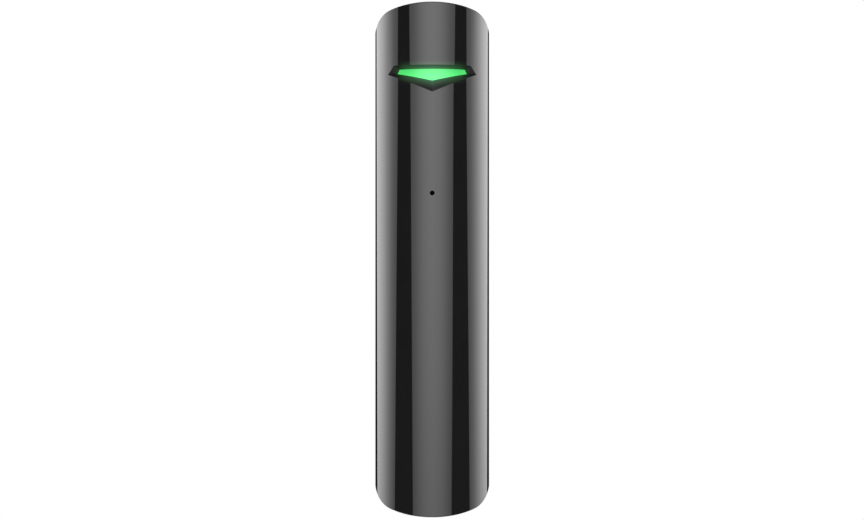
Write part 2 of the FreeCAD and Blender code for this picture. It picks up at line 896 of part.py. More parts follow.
def bay_space():
    """Everything hollow in the bay, without ledges and landing."""
    main = block(
        "bay_main", ("-bay_half_width", "bay_half_width"),
        ("-bay_depth", "trim_margin"), ("pocket_bottom", "bay_top"),
    )
    lower = block(
        "bay_lower", ("-bay_half_width", "bay_half_width"),
        ("-landing_depth", "trim_margin"), ("bay_bottom", "pocket_bottom"),
    )
    notch = block(
        "side_notch", ("-bay_half_width - side_notch_width", "0"),
        ("-landing_depth", "trim_margin"), ("bay_bottom", "side_notch_top"),
    )
    return fuse("bay_space", [main, lower, notch])


def landing_edges():
    """Raised floor under the bracket's foot, with rounded lower corners."""
    half = size("landing_half_width")
    top = size("landing_top")
    bottom = size("pocket_bottom")
    corner = size("pocket_corner")
    wide = half + corner
    right = on_circle((wide, bottom + corner), corner, 225)
    return [
        line((-half, top), (half, top)),
        line((half, top), (half, bottom + corner)),
        arc((half, bottom + corner), right, (wide, bottom)),
        line((wide, bottom), (-wide, bottom)),
        arc((-wide, bottom), (-right[0], right[1]), (-half, bottom + corner)),
        line((-half, bottom + corner), (-half, top)),
    ]


def make_ledges():
    """Ledges that hold the bracket's tabs, and small stops under the upper pair."""
    inner = "bracket_half_width + ledge_gap"
    outer = "bay_half_width + rear_wall / 2"
    deep = ("-ledge_thickness", "trim_margin")
    upper = block("upper_ledge", (inner, outer), deep, ("upper_ledge_bottom", "upper_ledge_top"))
    lower = block("lower_ledge", (inner, outer), deep, ("lower_ledge_bottom", "lower_ledge_top"))
    stop_top = "upper_ledge_bottom - stop_rib_drop"
    stop = block("stop_rib", (inner, outer), deep, (stop_top + " - stop_rib_height", stop_top))
    return both_sides("ledges", fuse("ledges_right", [upper, lower, stop]))


def make_posts():
    """Four square posts that carry the board, two of them with locating pins."""
    posts = []
    root = "-bay_depth - rear_wall / 2"
    for side, x in (("right", "post_offset"), ("left", "-post_offset")):
        for spot, level in (("low", "post_low"), ("high", "post_high")):
            posts.append(block(
                "post_%s_%s" % (side, spot), (x + " - post_width / 2", x + " + post_width / 2"),
                ("-board_depth", root), (level + " - post_width / 2", level + " + post_width / 2"),
            ))
    for side, x, level in PINS:
        posts.append(rod_y("pin_" + side, "pin_radius", x, (BOARD_FRONT, root), level))
    return posts


def make_cradles():
    """Ribs that hold the cell off the walls, and the shelf of the lower contact."""
    ribs = []
    for index in range(CRADLE_COUNT):
        share = "(%d + 0.5) / %d" % (index, CRADLE_COUNT)
        level = "cell_bottom + cell_length * %s - cradle_thickness / 2" % share
        ribs.append(block(
            "cradle_%d" % index, ("-front_radius", "front_radius"), ("-seam_depth + seam_gap", "0"),
            (level, level + " + cradle_thickness"),
        ))
    top = "cell_bottom - leaf_rise - contact_thickness"
    shelf = block(
        "shelf", ("-front_radius", "front_radius"), ("-seam_depth + seam_gap", "0"),
        (top + " - shelf_thickness", top),
    )
    cell_reach = ("body_bottom", "cell_top + trim_margin")
    space = rod_z("cell_space", "cell_room", CELL_Y, cell_reach)
    held = cut("cradles", fuse("cradle_ribs", ribs), space)
    return common("cradle_all", [fuse("cradle_set", [held, shelf]), blank("cradle_skin", "rear_wall / 2")])


def pry_notches():
    """Shallow lens-shaped notches half way back on the tapered sides."""
    lean = taper_angle()
    axis = size("axis_depth")
    depth = (axis - size("front_radius") * math.sin(lean)) / 2
    level = size("pry_height")
    half = size("pry_half_length")
    wide = size("pry_half_width")
    outline = [
        arc((-depth, level - half), (-depth - wide, level), (-depth, level + half)),
        arc((-depth, level + half), (wide - depth, level), (-depth, level - half)),
    ]
    floor = side_at(0, depth) - size("pry_depth")
    profile = sketch("pry_outline", "YZ", outline, offset=floor)
    notch = extrude("pry_notch", profile, "pry_depth + trim_margin", Vector(1, 0, 0), middle=False)
    return both_sides("pry_notches", notch)


def make_rear_cover(form, rear_inner, label_patch):
    zone = front_region("rear_cut_zone", "seam_gap")
    solid = cut("rear_solid", form, zone)
    shell = cut("rear_shell", solid, rear_inner)
    walls = common("bay_walls", [bay_solid(), form])
    body = fuse("rear_body", [shell, walls, make_cradles()] + make_posts() + make_rails())
    landing_sketch = sketch("landing_outline", "XZ", landing_edges(), offset=size("bay_depth"))
    landing_length = "bay_depth - landing_depth"
    landing = extrude("landing", landing_sketch, landing_length, Vector(0, 1, 0), middle=False)
    keep = fuse("bay_keep", [landing, make_ledges()])
    hollow = cut("bay_hollow", bay_space(), keep)
    half_wide = "(socket_width / 2 + socket_side_gap)"
    half_tall = "(socket_height / 2 + socket_slot)"
    socket_hole = block(
        "socket_hole",
        ("socket_centre - " + half_wide, "socket_centre + " + half_wide),
        ("-bay_depth - 2 * rear_wall", "-landing_depth + trim_margin / 2"),
        ("socket_level - " + half_tall, "socket_level + " + half_tall),
    )
    bores = []
    for button in ("tamper", "power"):
        through = ("-bay_depth - 2 * rear_wall", "0")
        radius = button + "_radius + button_fit"
        bores.append(rod_y(button + "_bore", radius, "0", through, button + "_height"))
    tools = fuse("rear_tools", [hollow, socket_hole, pry_notches(), label_patch] + bores)
    return node(cut("rear_cover", body, tools), "rear_cover")


# Mounting bracket

def notched_slab_edges():
    """Bracket outline seen from the front: legs round a rounded notch."""
    half = size("bracket_half_width")
    top = size("bracket_top")
    foot = size("bracket_leg_bottom")
    web = size("bracket_web_bottom")
    notch = size("notch_half_width")
    corner = size("notch_corner")
    middle = on_circle((notch - corner, web - corner), corner, 45)
    return [
        line((-half, top), (half, top)),
        line((half, top), (half, foot)),
        line((half, foot), (notch, foot)),
        line((notch, foot), (notch, web - corner)),
        arc((notch, web - corner), middle, (notch - corner, web)),
        line((notch - corner, web), (corner - notch, web)),
        arc((corner - notch, web), (-middle[0], middle[1]), (-notch, web - corner)),
        line((-notch, web - corner), (-notch, foot)),
        line((-notch, foot), (-half, foot)),
        line((-half, foot), (-half, top)),
    ]


def rounded_frame(name, half, top, bottom, corner, y):
    """Rounded rectangle prism in the back, for the tear-off outline."""
    low, high, wide, turn = value(bottom), value(top), value(half), value(corner)
    edges = []
    right = wide - turn
    centres = [(right, high - turn), (-right, high - turn), (-right, low + turn), (right, low + turn)]
    starts = []
    for quarter, centre in enumerate(centres):
        a, m, b = [on_circle(centre, turn, 90 * quarter + step) for step in (0, 45, 90)]
        starts.append((a, b))
        edges.append(arc(a, m, b))
    for (_, end), (begin, _) in zip(starts, starts[1:] + starts[:1]):
        edges.append(line(end, begin))
    profile = sketch(name + "_outline", "XZ", edges, offset=-value(y[1]))
    return extrude(name, profile, "(%s) - (%s)" % (y[1], y[0]), Vector(0, -1, 0), middle=False)


def tear_slots():
    """Slots of the tear-off outline, with six bridges left standing."""
    through = ("-bracket_thickness - trim_margin", "trim_margin")
    outer = rounded_frame(
        "tear_outer", "tear_half_width", "tear_top", "tear_bottom", "tear_corner", through,
    )
    inner = rounded_frame(
        "tear_inner", "tear_half_width - tear_slot", "tear_top - tear_slot", "tear_bottom + tear_slot",
        "tear_corner - tear_slot", through,
    )
    ring = cut("tear_ring", outer, inner)
    bridge = block(
        "tear_bridge_middle", ("-tear_bridge / 2", "tear_bridge / 2"), through,
        ("tear_bottom - trim_margin", "tear_top + trim_margin"),
    )
    side = ("-tear_half_width - trim_margin", "tear_half_width + trim_margin")
    upper_top = "tear_top - tear_side_bridge_edge"
    upper = block("tear_bridge_upper", side, through, (upper_top + " - tear_side_bridge", upper_top))
    lower_bottom = "tear_bottom + tear_side_bridge_edge + tear_slot"
    lower = block("tear_bridge_lower", side, through, (lower_bottom, lower_bottom + " + tear_side_bridge"))
    return cut("tear_slots", ring, fuse("tear_bridges", [bridge, upper, lower]))


def make_tabs():
    """Tabs that slide under the ledges of the rear cover."""
    reach = ("web_half_width - trim_margin", "tab_reach")
    deep = ("-ledge_thickness - tab_gap - tab_thickness", "-ledge_thickness - tab_gap")
    level = ("upper_ledge_bottom + tab_end_gap", "upper_ledge_top - tab_end_gap")
    upper = block("upper_tab", reach, deep, level)
    lower = block("lower_tab", reach, deep, ("bracket_leg_bottom", "lower_ledge_top - tab_end_gap"))
    return both_sides("tabs", fuse("tabs_right", [upper, lower]))


def pad_relief_edges():
    """Outline of the shallow relief on the plate, arched at its upper end."""
    half = size("web_half_width")
    foot = size("bracket_leg_bottom") - size("trim_margin")
    shoulder = size("pad_shoulder")
    return [
        line((-half, foot), (half, foot)),
        line((half, foot), (half, shoulder)),
        arc((half, shoulder), (0, size("pad_arch_top")), (-half, shoulder)),
        line((-half, shoulder), (-half, foot)),
    ]


def make_bracket(form):
    slab_sketch = sketch("bracket_outline", "XZ", notched_slab_edges(), offset=size("bay_depth"))
    slab = extrude("bracket_slab", slab_sketch, "bay_depth + trim_margin", Vector(0, 1, 0), middle=False)
    sheet_form = common("bracket_form", [slab, form])
    plate = cut("bracket_plate", sheet_form, blank("bracket_inner", "bracket_thickness"))
    solid = fuse("bracket_solid", [plate, make_tabs()])
    pad_sketch = sketch("pad_relief_outline", "XZ", pad_relief_edges(), offset=size("pad_relief"))
    pad_relief = extrude(
        "pad_relief_cut", pad_sketch, "pad_relief + trim_margin", Vector(0, 1, 0), middle=False,
    )
    web_relief = block(
        "web_relief_cut", ("-web_half_width", "web_half_width"),
        ("-web_relief", "trim_margin"), ("bracket_leg_bottom - trim_margin", "pad_bottom"),
    )
    rim_radius = "screw_hole_radius + hole_rim_width"
    rim = rod_y("hole_rim", rim_radius, "0", ("-web_relief", "-pad_relief"), "lower_hole_height")
    relief = cut("relief", fuse("reliefs", [pad_relief, web_relief]), rim)
    panel = block(
        "panel_cut", ("-panel_half_width", "panel_half_width"), ("-web_relief - panel_relief", "0"),
        ("tear_bottom + panel_margin", "tear_top - panel_margin"),
    )
    keep = rod_y("panel_keep", rim_radius, "0", ("-bracket_thickness", "trim_margin"), "lower_hole_height")
    panel_cut = cut("panel", panel, keep)
    holes = []
    for spot in ("upper", "lower"):
        through = ("-bracket_thickness - trim_margin", "trim_margin")
        holes.append(rod_y(spot + "_hole", "screw_hole_radius", "0", through, spot + "_hole_height"))
    tools = fuse("bracket_tools", [relief, panel_cut, tear_slots()] + holes)
    return node(cut("mounting_bracket", solid, tools), "mounting_bracket")


# Inside: light guide, microphone, board


def make_light_guide():
    lens = chevron_prism("lens", "0", FRONT, LENS_SEAT)
    drum = rod_z("lens_drum", "front_radius - recess_depth", AXIS, ("0", "body_top"))
    face = common("lens_face", [lens, drum])
    flange = chevron_prism("flange", "lens_flange", LENS_SEAT, LENS_SEAT + " + lens_flange_thickness")
    stem = block(
        "stem", ("-stem_width / 2", "stem_width / 2"),
        (LENS_SEAT, BOARD_FRONT + " - led_thickness"),
        ("lens_level - stem_height / 2", "lens_level + stem_height / 2"),
    )
    return node(fuse("light_guide", [face, flange, stem]), "light_guide")


def make_led():
    return chip("status_led", "0", "lens_level", "led_width", "led_width", "led_thickness")


def chip(label, x, level, width, height, thickness):
    """Flat part soldered on the front of the board."""
    y = (BOARD_FRONT + " - " + thickness, BOARD_FRONT)
    across = ("(%s) - (%s) / 2" % (x, width), "(%s) + (%s) / 2" % (x, width))
    upright = ("(%s) - (%s) / 2" % (level, height), "(%s) + (%s) / 2" % (level, height))
    return block_node(label, across, y, upright)


def block_node(label, x, y, z):
    """A sub-part that is one plain block."""
    return node(block(label, x, y, z), label, x[0], y[0], z[0])


def make_board():
    half = size("board_half_width")
    top = size("board_top")
    bottom = size("board_bottom")
    corner = size("board_corner")
    edges = polygon([
        (-half, bottom), (half, bottom), (half, top - corner), (half - corner, top),
        (corner - half, top), (-half, top - corner),
    ])
    hole = size("pin_radius") + size("pin_fit")
    for _, x, level in PINS:
        edges.append(Part.Circle(Vector(size(x), size(level), 0), Vector(0, 0, 1), hole))
    body = padded("circuit_board", "XZ_Plane", edges, "board_thickness")
    return node(body, "circuit_board", y="-board_depth - board_thickness / 2")


def make_microphone():
    capsule_front = BOARD_FRONT + " - capsule_height"
    capsule = rod_y("capsule", "capsule_radius", "0", (capsule_front, BOARD_FRONT), "port_height")
    mouth_reach = (capsule_front + " - trim_margin", capsule_front + " + gasket_wall")
    mouth = rod_y("capsule_mouth", "channel_radius", "0", mouth_reach, "port_height")
    node(cut("microphone_capsule", capsule, mouth), "microphone_capsule")
    seat = AXIS + " - port_boss_front"
    outer = rod_y("gasket_outer", "port_boss_radius", "0", (seat, capsule_front), "port_height")
    bore = rod_y("gasket_bore", "channel_radius", "0", (seat + " - trim_margin", AXIS), "port_height")
    node(cut("microphone_gasket", outer, bore), "microphone_gasket")


def make_cell():
    """Cell with rounded edges and a positive nub, standing upright."""
    radius = size("cell_radius")
    edge = size("cell_edge")
    top = size("cell_top") - size("nub_height")
    bottom = top - size("cell_length")
    nub = size("nub_radius")
    body = turned("battery_cell", [
        (bottom, 0), (bottom, radius - edge), (bottom + edge, radius), (top - edge, radius),
        (top, radius - edge), (top, nub), (top + size("nub_height"), nub), (top + size("nub_height"), 0),
    ], "Z")
    return node(body, "battery_cell", y=CELL_Y)


def make_contacts():
    """Sheet contacts: a plate on the nub soldered to the board, a leaf below."""
    thick = size("contact_thickness")
    back = value(BOARD_BACK)
    top = size("cell_top")
    leg = size("contact_leg")
    tip = value(CELL_Y) - size("nub_radius")
    plate = [
        (tip, top), (back + thick, top), (back + thick, top + leg), (back, top + leg),
        (back, top + thick), (tip, top + thick),
    ]
    body = padded("battery_contact_positive", "YZ_Plane", polygon(plate), "contact_width")
    node(body, "battery_contact_positive", x="contact_offset")
    bottom = size("cell_bottom")
    middle = value(CELL_Y)
    half = size("cell_radius") / 2
    low = bottom - size("leaf_rise") - thick
    outer_rise = ((middle - half, low + thick), (middle, bottom), (middle + half, low + thick))
    inner_rise = ((middle + half - thick, low), (middle, bottom - thick), (middle - half + thick, low))
    edges = [
        arc(*outer_rise),
        line((middle + half, low + thick), (middle + half + thick, low + thick)),
        line((middle + half + thick, low + thick), (middle + half + thick, low)),
        line((middle + half + thick, low), (middle + half - thick, low)),
        arc(*inner_rise),
        line((middle - half + thick, low), (middle - half - thick, low)),
        line((middle - half - thick, low), (middle - half - thick, low + thick)),
        line((middle - half - thick, low + thick), (middle - half, low + thick)),
    ]
    body = padded("battery_contact_negative", "YZ_Plane", edges, "leaf_width")
    node(body, "battery_contact_negative")


def make_button(label, radius, level, outer):
    """Round button whose flange rests under the floor of the bay."""
    reach = size(radius)
    rim = reach + size("button_flange")
    under = value(BUTTON_SEAT)
    flange = value(BUTTON_END)
    tip = value(outer)
    profile = [(flange, 0), (flange, rim), (under, rim), (under, reach), (tip, reach), (tip, 0)]
    body = turned(label, profile, "Y")
    return node(body, label, z=level)


def make_switch(label, level, travel):
    """Square switch under a button, as tall as the button's travel leaves."""
    top = BUTTON_END + " - %s - switch_gap" % travel
    across = ("-switch_width / 2", "switch_width / 2")
    upright = ("%s - switch_width / 2" % level, "%s + switch_width / 2" % level)
    return block_node(label, across, (BOARD_BACK, top), upright)


def make_socket():
    """Wired connector: a thin-walled box with two pins and a spacer in its mouth."""
    half = "socket_height / 2"
    x = ("socket_centre - socket_width / 2", "socket_centre + socket_width / 2")
    mouth = "-landing_depth + socket_proud"
    z = ("socket_level - " + half, "socket_level + " + half)
    case = block("socket_case", x, (BOARD_BACK, mouth), z)
    room = block(
        "socket_room", (x[0] + " + socket_wall", x[1] + " - socket_wall"),
        (mouth + " - socket_cavity", mouth + " + trim_margin"),
        (z[0] + " + socket_wall", z[1] + " - socket_wall"),
    )
    node(cut("connector_socket", case, room), "connector_socket")
    base = mouth + " - socket_cavity"
    reach = (base, base + " + pin_length")
    upright = ("socket_level - pin_drop - pin_width / 2", "socket_level - pin_drop + pin_width / 2")
    for side, shift in (("left", "-"), ("right", "+")):
        centre = "socket_centre %s pin_pitch / 2" % shift
        across = (centre + " - pin_width / 2", centre + " + pin_width / 2")
        block_node("connector_pin_" + side, across, reach, upright)
    between = "(pin_pitch - pin_width) / 2"
    across = ("socket_centre - " + between, "socket_centre + " + between)
    block_node("connector_spacer", across, reach, upright)



def make_label():
    """Thin label patch let into the flat back."""
    patch = block(
        "label_patch", ("-label_half_width", "label_half_width"),
        ("-label_thickness", "trim_margin"), ("label_bottom", "label_top"),
    )
    return patch


def make_antenna():
    """Bent strip antenna on the front of the board."""
    half = size("antenna_span") / 2
    rise = size("antenna_rise")
    thick = size("antenna_thickness")
    edges = polygon([
        (-half, 0), (-half, -rise), (half, -rise), (half, 0), (half - thick, 0),
        (half - thick, thick - rise), (thick - half, thick - rise), (thick - half, 0),
    ])
    body = padded("antenna_strip", "XY_Plane", edges, "antenna_strip")
    return node(body, "antenna", y=BOARD_FRONT, z="antenna_level")


def make_shield():
    """Drawn metal can over the radio, open towards the board."""
    x = ("-shield_width / 2", "shield_width / 2")
    z = ("shield_bottom", "shield_bottom + shield_height")
    can = block("shield_can", x, (BOARD_BACK, BOARD_BACK + " + shield_thickness"), z)
    room = block(
        "shield_room", (x[0] + " + shield_metal", x[1] + " - shield_metal"),
        (BOARD_BACK + " - trim_margin", BOARD_BACK + " + shield_thickness - shield_metal"),
        (z[0] + " + shield_metal", z[1] + " - shield_metal"),
    )
    return node(cut("radio_shield", can, room), "radio_shield")


def make_reservoir():
    """Round capacitor on a square base, standing off the board's front."""
    radius = size("reservoir_radius")
    base = size("reservoir_base")
    tall = size("reservoir_height")
    groove = size("reservoir_groove")
    body = turned("reservoir_can", [
        (0, 0), (0, radius), (-base, radius), (-base - groove, radius - groove),
        (-base - 2 * groove, radius), (groove - tall, radius), (-tall, radius - groove), (-tall, 0),
    ], "Y")
    return node(body, "reservoir_capacitor", x="reservoir_offset", y=BOARD_FRONT, z="reservoir_level")


def make_chips():
    chip("microcontroller", "0", "controller_height", "chip_width", "chip_width", "chip_thickness")
    chip("amplifier_chip", "0", "amplifier_height", "amplifier_width", "amplifier_width", "chip_thickness")
    chip(
        "crystal", "crystal_offset", "controller_height", "crystal_width", "crystal_length", "crystal_depth",
    )
    for index in range(CHIP_CAPACITOR_COUNT):
        level = "chip_capacitor_first + %d * chip_capacitor_pitch" % index
        chip(
            "chip_capacitor_%d" % (index + 1), "chip_capacitor_offset", level, "chip_capacitor_width",
            "chip_capacitor_length", "chip_capacitor_width",
        )


# The whole sensor

def build():
    form = blank("form", "0", trimmed=True)
    make_front_cover(form, blank("front_inner", "front_wall", bend=chord))
    patch = make_label()
    label = common("rear_label", [patch, form])
    node(label, "rear_label")
    make_rear_cover(form, blank("rear_inner", "rear_wall", bend=chord, trimmed=True), patch)
    make_bracket(form)
    make_light_guide()
    make_led()
    make_board()
    make_microphone()
    make_cell()
    make_contacts()
    make_button("tamper_button", "tamper_radius", "tamper_height", "-bracket_thickness - button_gap")
    make_button("power_button", "power_radius", "power_height", "-bay_depth - power_recess")
    make_switch("tamper_switch", "tamper_height", "tamper_travel")
    make_switch("power_switch", "power_height", "power_travel")
    make_socket()
    make_antenna()
    make_shield()
    make_reservoir()
    make_chips()


def check_objects():
    for item in doc.Objects:
        if "Invalid" in item.State or "Error" in item.State:
            raise RuntimeError("%s failed: %s" % (item.Name, item.State))
    for item in NODES:
        shape = item.Shape
        if shape.isNull() or not shape.isValid():
            raise RuntimeError("%s has no valid shape" % item.Label)
        print("%-26s solids %d volume %.2f" % (item.Label, len(shape.Solids), shape.Volume))


def write_parts():
    os.makedirs("parts", exist_ok=True)
    for item in NODES:
        item.Shape.exportStep(os.path.join("parts", item.Label + ".step"))


build()
doc.recompute()
check_objects()
write_parts()
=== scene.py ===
import math

import bpy
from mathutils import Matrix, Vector

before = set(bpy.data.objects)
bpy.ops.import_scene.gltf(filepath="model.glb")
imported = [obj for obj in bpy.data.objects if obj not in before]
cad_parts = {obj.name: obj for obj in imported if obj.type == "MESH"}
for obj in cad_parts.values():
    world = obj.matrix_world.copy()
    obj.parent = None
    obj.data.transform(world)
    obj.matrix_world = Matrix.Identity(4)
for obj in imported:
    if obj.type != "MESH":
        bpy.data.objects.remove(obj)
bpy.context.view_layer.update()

# Sizes in metres, in the frame of the screw holes
MID_HEIGHT = -0.0232
FRONT = -0.0193
MIDDLE_DEPTH = -0.009

# Polished face: how far back and up it reaches, and its rounded corners
GLOSS_END = 0.0120
GLOSS_TOP = 0.0450
GLOSS_SLOPE = 0.37
GLOSS_CORNER = 0.0041
GLOSS_BLUR = 0.00004
AXIS = -0.0091
FACE_RADIUS = 0.0102
FACE_MARGIN = 0.00002

# Curved ends and the thin line along their crown
ROOF_AXIS = -0.0070
ROOF_RADIUS = 0.0520
ROOF_ROUGHER = 0.45
ROOF_INNER = 0.0012
ROOF_OUTER = 0.0003
CROWN_RADIUS = 0.0265
CROWN_LINE = 0.00022
CROWN_LINE_FULL = 0.0045
CROWN_LINE_END = 0.0066
CROWN_SPECULAR = 0.33

# Lens, its recess, and the glow painted on the recess for the light that the lens throws there
LENS_HALF_WIDTH = 0.0060
LENS_MIDDLE = 0.00912
LENS_MIDDLE_SLOPE = 0.104
LENS_HALF_HEIGHT = 0.00098
GLOW_REACH = 0.0017
GLOW_POWER = 1.7
GLOW_HALF_WIDTH = 0.0075
GLOW_STOPS = [(0.0, 1.0), (0.4, 0.72), (0.65, 0.45), (0.78, 0.15), (1.0, 0.0)]
GLOW_TINTS = ((0.055, 0.165, 0.078, 1.0), (0.034, 0.165, 0.044, 1.0))
LENS_SPREAD = 0.0062
LENS_CLOUD = 0.0012
LENS_GREENS = ((0.105, 0.93, 0.235, 1.0), (0.04, 0.68, 0.115, 1.0))
LENS_BODY = ((0.05, 0.12, 0.06, 1.0), (0.03, 0.09, 0.04, 1.0))
LENS_LOW_STRENGTH = 1.28
LENS_HIGH_STRENGTH = 0.94
DISH_REACH = 0.0045
DISH_FULL = 0.0005
DISH_END = 0.0060
DISH_SIDE = 0.35
DISH_ROUGHER = 0.2

# Sound port of the microphone
PORT_HEIGHT = -0.0116
FELT_RADIUS = 0.0011

# Back: the bay behind the bracket, where shadow is painted, and the bracket's levels
BAY_DEPTH = 0.0034
# Where the painted shadow in the bay starts: depth, blur and height span
BAY_SHADOW_DEPTH = 0.0021
BAY_SHADOW_BLUR = 0.0003
BAY_HALF_WIDTH = 0.0064
BAY_MARGIN = 0.0001
BAY_SHADOW_FROM = -0.0190
BAY_SHADOW_TO = -0.0140
WEB_DEPTH = 0.00045
PANEL_DEPTH = 0.00065
LEVEL_MARGIN = 0.00003

# Plastics: dark and light tone, then the tone of the grain where there is one
GLOSS_TONES = ((0.0112, 0.0112, 0.0114, 1.0), (0.0136, 0.0136, 0.0137, 1.0))
MATT_TONES = ((0.014, 0.014, 0.0142, 1.0), (0.019, 0.019, 0.0192, 1.0))
REAR_TONES = (
    (0.0115, 0.0115, 0.0117, 1.0), (0.0140, 0.0140, 0.0142, 1.0), (0.0105, 0.0105, 0.0107, 1.0),
)
BRACKET_TONES = (
    (0.031, 0.031, 0.0314, 1.0), (0.037, 0.037, 0.0374, 1.0), (0.027, 0.027, 0.0274, 1.0),
)
# Painted shadow: near-black base colours for the bay behind the bracket and for the bracket's slots
BAY_PAINTED_SHADOW = (0.002, 0.002, 0.002, 1.0)
SLOT_PAINTED_SHADOW = (0.004, 0.004, 0.004, 1.0)
BLACK = (0.0, 0.0, 0.0, 1.0)
WHITE = (1.0, 1.0, 1.0, 1.0)
BROAD_SIZE = 0.006
BROAD_DETAIL = 3.0
MOULDED_GRAIN = 0.00015
MOULDED_DEPTH = 0.000004
GRAIN_SHARE = 0.4
GRAIN_BUMP = 0.6
NOISE_LOW = 0.3
NOISE_HIGH = 0.7

# Studio that the polished face reflects: angles in degrees, and a level of 1 is white.
# TURN is measured from straight in front, and RISE from the horizon.
TURN_SPAN = 180.0
RISE_SPAN = 12.0
GAP_BLUR = 0.7
GAP_START = 42.65
GAP_START_SLOPE = 0.59
GAP_END = 76.8
GAP_END_SLOPE = -0.63
RIM_START = 148.5
RIM_SLOPE = 0.55
RIM_END_FROM = 168.0
RIM_END_TO = 170.0
TURN_LEVELS = [
    (0, 3.42), (11, 3.2), (19, 2.86), (27, 2.3), (36, 1.64), (40, 1.44), (44, 1.3), (70, 1.15),
    (77, 1.3), (82, 1.45), (87, 1.83), (93, 2.32), (99, 2.9), (106, 3.33), (113, 3.71), (120, 3.67),
    (129, 3.26), (140, 2.55), (145, 2.3), (151, 2.1), (168, 1.4), (170, 1.0),
]
TURN_SCALE = 4.0
RISE_LEVELS = [(-12, 0.55), (-6.1, 0.785), (-3.1, 0.92), (0, 1.0), (5.2, 1.09), (12, 1.12)]
RISE_SCALE = 2.0
STEEP_FROM = 9.0
STEEP_TO = 16.0
CEILING = (0.3, 0.3, 0.3, 1.0)
SOFT_BELOW = 0.5
SOFT_ABOVE = 0.85

# Floor, lamps (name, place, width, watts) and camera
FLOOR_HEIGHT = -0.1135
FLOOR_RADIUS = 0.34
FLOOR_TONES = ((0.90, 0.90, 0.90, 1.0), (0.93, 0.93, 0.93, 1.0))
FADE_START = 0.12
FADE_END = 0.33
LAMPS = (
    ("key", (-0.5, -0.55, 0.75), 0.45, 1.2),
    ("fill", (0.6, -0.3, 0.55), 0.5, 1.2),
    ("rear", (-0.35, 0.7, 0.6), 0.5, 2.3),
)
CAMERA_PLACE = (-0.000036, -0.4041, MID_HEIGHT - 0.0001)
CAMERA_LENS = 91.9


# Node helpers

class Tree:
    """Small builder for a node tree."""

    def __init__(self, tree):
        self.tree = tree
        self.tree.nodes.clear()

    def add(self, kind, **settings):
        node = self.tree.nodes.new(kind)
        for name, setting in settings.items():
            setattr(node, name, setting)
        return node

    def put(self, source, socket):
        """Link a socket, or write a plain value."""
        if isinstance(source, bpy.types.NodeSocket):
            self.tree.links.new(source, socket)
        else:
            socket.default_value = source

    def math(self, operation, a, b=0.0):
        node = self.add("ShaderNodeMath", operation=operation)
        self.put(a, node.inputs[0])
        self.put(b, node.inputs[1])
        return node.outputs[0]

    def fit(self, source, low, high, to_low=0.0, to_high=1.0, smooth=True):
        """Carry low..high over to to_low..to_high, clamped."""
        node = self.add("ShaderNodeMapRange", clamp=True)
        node.interpolation_type = "SMOOTHSTEP" if smooth else "LINEAR"
        self.put(source, node.inputs["Value"])
        self.put(low, node.inputs["From Min"])
        self.put(high, node.inputs["From Max"])
        self.put(to_low, node.inputs["To Min"])
        self.put(to_high, node.inputs["To Max"])
        return node.outputs["Result"]

    def vary(self, noise, low, high):
        """Value that a noise moves between low and high."""
        return self.fit(noise, NOISE_LOW, NOISE_HIGH, low, high)

    def mix(self, factor, a, b):
        node = self.add("ShaderNodeMix", data_type="RGBA")
        self.put(factor, node.inputs["Factor"])
        self.put(a, node.inputs["A"])
        self.put(b, node.inputs["B"])
        return node.outputs["Result"]

    def ramp(self, source, stops):
        """Colour ramp of grey levels: (position, level) pairs."""
        node = self.add("ShaderNodeValToRGB")
        points = node.color_ramp.elements
        while len(points) < len(stops):
            points.new(1.0)
        for point, (position, level) in zip(points, stops):
            point.position = position
            point.color = (level, level, level, 1.0)
        self.put(source, node.inputs["Fac"])
        return node.outputs["Color"]

    def place(self, stretch=(1.0, 1.0, 1.0)):
        coordinates = self.add("ShaderNodeTexCoord").outputs["Object"]
        mapping = self.add("ShaderNodeMapping")
        mapping.inputs["Scale"].default_value = stretch
        self.put(coordinates, mapping.inputs["Vector"])
        return mapping.outputs["Vector"]

    def xyz(self):
        """Place on the part, in the shared frame."""
        node = self.add("ShaderNodeSeparateXYZ")
        self.put(self.add("ShaderNodeTexCoord").outputs["Object"], node.inputs[0])
        return node.outputs["X"], node.outputs["Y"], node.outputs["Z"]

    def off(self, value, middle):
        """How far a value is from its middle, either way."""
        return self.math("ABSOLUTE", self.math("SUBTRACT", value, middle))

    def length(self, a, b):
        """Length of the two-sided distance a, b."""
        squares = self.math("ADD", self.math("POWER", a, 2.0), self.math("POWER", b, 2.0))
        return self.math("SQRT", squares)

    def noise(self, size, detail=2.0, stretch=(1.0, 1.0, 1.0)):
        """Noise whose features are about one size, in metres."""
        node = self.add("ShaderNodeTexNoise")
        self.put(self.place(stretch), node.inputs["Vector"])
        node.inputs["Scale"].default_value = 1.0 / size
        node.inputs["Detail"].default_value = detail
        return node.outputs["Fac"]

    def bump(self, height, strength, depth):
        node = self.add("ShaderNodeBump")
        self.put(strength, node.inputs["Strength"])
        node.inputs["Distance"].default_value = depth
        self.put(height, node.inputs["Height"])
        return node.outputs["Normal"]


def new_material(name):
    material = bpy.data.materials.new(name)
    material.use_nodes = True
    tree = Tree(material.node_tree)
    shader = tree.add("ShaderNodeBsdfPrincipled")
    output = tree.add("ShaderNodeOutputMaterial")
    tree.put(shader.outputs["BSDF"], output.inputs["Surface"])
    return material, tree, shader


# Materials

def shade(colour, factor):
    return tuple(channel * factor for channel in colour) + (1.0,)


